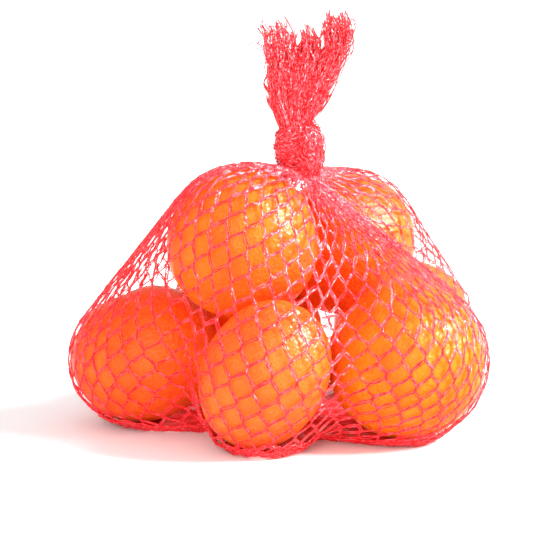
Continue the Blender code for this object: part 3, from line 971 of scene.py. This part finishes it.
def peel_material(number, deep, bright, stem, stem_reach):
    """Waxy orange peel: broad changes of colour, oil glands in fine pits with painted shade, and
    uneven gloss.
    """
    material, tree, shader, place = new_material(f"peel_{number}")
    broad = noise_at(tree, place, 34.0, 3.0)
    fine = noise_at(tree, place, 420.0, 3.0)
    wide = noise_at(tree, place, 150.0, 2.0)
    grain = noise_at(tree, place, 700.0, 1.0)
    glands = add_node(tree, "ShaderNodeTexVoronoi", {"Vector": place}, scale=760.0)
    glands = glands.outputs["Distance"]
    colour = colour_ramp(tree, broad, ((0.32, deep), (0.68, bright)))
    # painted shade: the peel is darkened in the gland pits
    painted_pit_shade = colour_ramp(tree, glands, ((0.05, (0.90, 0.80, 0.70)), (0.45, (1.0, 1.0, 1.0))))
    colour = mixed(tree, 0.7, colour, painted_pit_shade, "MULTIPLY")
    away = add_node(tree, "ShaderNodeVectorMath", {0: place}, operation="DISTANCE")
    away.inputs[1].default_value = stem
    links = {0: wide, 2: away.outputs["Value"]}
    ragged = add_node(tree, "ShaderNodeMath", links, operation="MULTIPLY_ADD")
    ragged.inputs[1].default_value = stem_reach
    dry = add_node(
        tree, "ShaderNodeMapRange", {"Value": ragged.outputs[0]},
        from_min=0.8 * stem_reach, from_max=1.5 * stem_reach, to_min=0.75, to_max=0.0,
    )
    bump = add_bump(tree, glands, 0.5, 0.0006)
    bump = add_bump(tree, grain, 0.4, 0.0008, {"Normal": bump})
    finish_shader(tree, shader, {
        "Base Color": mixed(tree, dry.outputs["Result"], colour, DRY_PEEL),
        "Roughness": grey_ramp(tree, fine, 0.15, 0.28),
        "Normal": add_bump(tree, wide, 0.6, 0.0020, {"Normal": bump}),
    }, {
        "Specular IOR Level": 0.058,
        "Subsurface Weight": 0.35,
        "Subsurface Radius": (1.0, 0.25, 0.04),
        "Subsurface Scale": 0.006,
        "Coat Weight": 0.02,
        "Coat Roughness": 0.18,
    })
    return material


def calyx_material():
    material, tree, shader, place = new_material("dry_calyx")
    grain = noise_at(tree, place, 900.0, 4.0)
    colour = colour_ramp(tree, grain, ((0.35, (0.16, 0.11, 0.03)), (0.65, (0.42, 0.36, 0.16))))
    links = {"Base Color": colour, "Normal": add_bump(tree, grain, 0.5, 0.0003)}
    finish_shader(tree, shader, links, {"Roughness": 0.7})
    return material


def net_material(name, deep, bright, milky_tone_and_highlight):
    """Coral polyethylene filament: smooth, uneven in colour, and pale in marks that are partly
    milky tone and partly painted highlight.
    """
    material, tree, shader, place = new_material(name)
    broad = noise_at(tree, place, 160.0, 2.0)
    fine = noise_at(tree, place, 1400.0, 2.0)
    strand = add_node(tree, "ShaderNodeUVMap", uv_map="Strand").outputs["UV"]
    marks = noise_at(tree, strand, 0.75, 2.0, noise_dimensions="2D")
    colour = colour_ramp(tree, broad, ((0.3, deep), (0.7, bright)))
    # pale pink marks along each strand: partly the filament's milky tone, partly painted highlight
    # dashes
    milky_and_highlight_share = add_node(
        tree, "ShaderNodeMapRange", {"Value": marks},
        from_min=0.50, from_max=0.64, to_min=0.0, to_max=1.0,
    )
    finish_shader(tree, shader, {
        "Base Color": mixed(tree, milky_and_highlight_share.outputs["Result"], colour, milky_tone_and_highlight),
        "Roughness": grey_ramp(tree, fine, 0.06, 0.22),
        "Normal": add_bump(tree, fine, 0.8, 0.0008),
    }, {"Specular IOR Level": 0.38})
    return material


def floor_material():
    material, tree, shader, place = new_material("white_floor")
    links = {"Base Color": grey_ramp(tree, noise_at(tree, place, 8.0, 2.0), 0.93, 0.96)}
    finish_shader(tree, shader, links, {"Roughness": 0.9, "Specular IOR Level": 0.1})
    return material


# ---- the stage


def make_floor():
    mesh = bpy.data.meshes.new("floor")
    corners = FLOOR_HALF * np.array([(-1, -1, 0), (1, -1, 0), (1, 1, 0), (-1, 1, 0)])
    mesh.from_pydata((corners + FOOT).tolist(), [], [(0, 1, 2, 3)])
    mesh.materials.append(floor_material())
    floor = add_object("floor", mesh)


def point_at(obj, place, aim):
    turn = (aim - place).to_track_quat("-Z", "Y").to_matrix().to_4x4()
    obj.matrix_world = Matrix.Translation(place) @ turn


def make_area_light(name, direction, size, power):
    light = bpy.data.lights.new(name, "AREA")
    light.shape = "DISK"
    light.size = size
    light.energy = power
    lamp = add_object(name, light)
    aim = Vector(FOOT) + Vector(HEART)
    point_at(lamp, aim + Vector(direction).normalized() * LAMP_DISTANCE, aim)
    return lamp


def make_sun():
    light = bpy.data.lights.new("key", "SUN")
    light.angle = KEY_WIDTH
    light.energy = KEY_STRENGTH
    point_at(add_object("key", light), Vector(KEY_DIRECTION), Vector((0, 0, 0)))


def make_lamps():
    """The key light, a fill that leaves no glints, and two lamps that leave nothing else."""
    make_sun()
    make_area_light("fill", *FILL).visible_glossy = False
    make_area_light("glint", *GLINT).visible_diffuse = False
    make_area_light("gloss", *GLOSS).visible_diffuse = False


def make_world():
    """White all round, and whiter where it is seen straight on, so that the ground stays white."""
    world = bpy.data.worlds.new("studio")
    world.use_nodes = True
    bpy.context.scene.world = world
    tree = world.node_tree
    ground = tree.nodes["Background"]
    ground.inputs["Color"].default_value = (1, 1, 1, 1)
    ground.inputs["Strength"].default_value = WORLD_STRENGTH
    seen = add_node(tree, "ShaderNodeBackground", strength=WORLD_SEEN)
    seen.inputs["Color"].default_value = (1, 1, 1, 1)
    path = tree.nodes.new("ShaderNodeLightPath")
    mix = tree.nodes.new("ShaderNodeMixShader")
    tree.links.new(path.outputs["Is Camera Ray"], mix.inputs[0])
    tree.links.new(ground.outputs[0], mix.inputs[1])
    tree.links.new(seen.outputs[0], mix.inputs[2])
    tree.links.new(mix.outputs[0], tree.nodes["World Output"].inputs["Surface"])


def make_camera():
    camera = bpy.data.cameras.new("camera")
    camera.lens = CAMERA_LENS
    camera.sensor_width = SENSOR
    obj = add_object("camera", camera)
    aim = Vector(FOOT) + Vector(CAMERA_AIM)
    view = Vector((0, math.cos(CAMERA_TILT), -math.sin(CAMERA_TILT)))
    point_at(obj, aim - view * CAMERA_DISTANCE, aim)
    bpy.context.scene.camera = obj


# ---- all of it


def place_piece(piece):
    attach(piece, "root")
    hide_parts("net_bag")


def make_net(drape, material):
    crossings = net_crossings(drape)
    lines, face = strand_lines(crossings, *crossing_frames(crossings))
    names = ("left_filaments", "right_filaments", "thin_filaments")
    return [
        tube_object(f"net_{name}", rings, material, smooth=False)
        for name, rings in zip(names, net_filaments(lines, face))
    ]


def make_netting():
    """The pieces of the net."""
    net = net_material("coral_net", *NET_COLOURS)
    drawn = net_material("drawn_net", *DRAWN_NET_COLOURS)
    # the netting gathered under the fruit gets these darker colours as painted shade
    packed = net_material("painted_shade_net", *PAINTED_SHADE_NET_COLOURS)
    drape = Drape()
    pieces = make_net(drape, net)
    pieces += [make_hem(drape, net), make_gather(drape, packed)]
    pieces += [make_knot(drape, drawn), make_knot_core(drawn), make_tuft_core(drawn)]
    return pieces + [make_lobe(name, heights, drawn) for name, heights in LOBES.items()]


def main():
    bpy.context.scene.view_settings.view_transform = "Standard"
    for piece in make_netting():
        place_piece(piece)
    calyx = calyx_material()
    fruit = zip(CLEMENTINES, PEEL_TONES_AND_PAINTED_SHADE, STEMS)
    for number, (shape, colours, (calyx_radius, dry_reach)) in enumerate(fruit, 1):
        stem = Vector(shape[3]).normalized() * shape[2]
        peel = peel_material(number, *colours, stem, dry_reach)
        place_piece(make_clementine(number, *shape, calyx_radius, (peel, calyx)))
    make_floor()
    make_world()
    make_lamps()
    make_camera()


main()
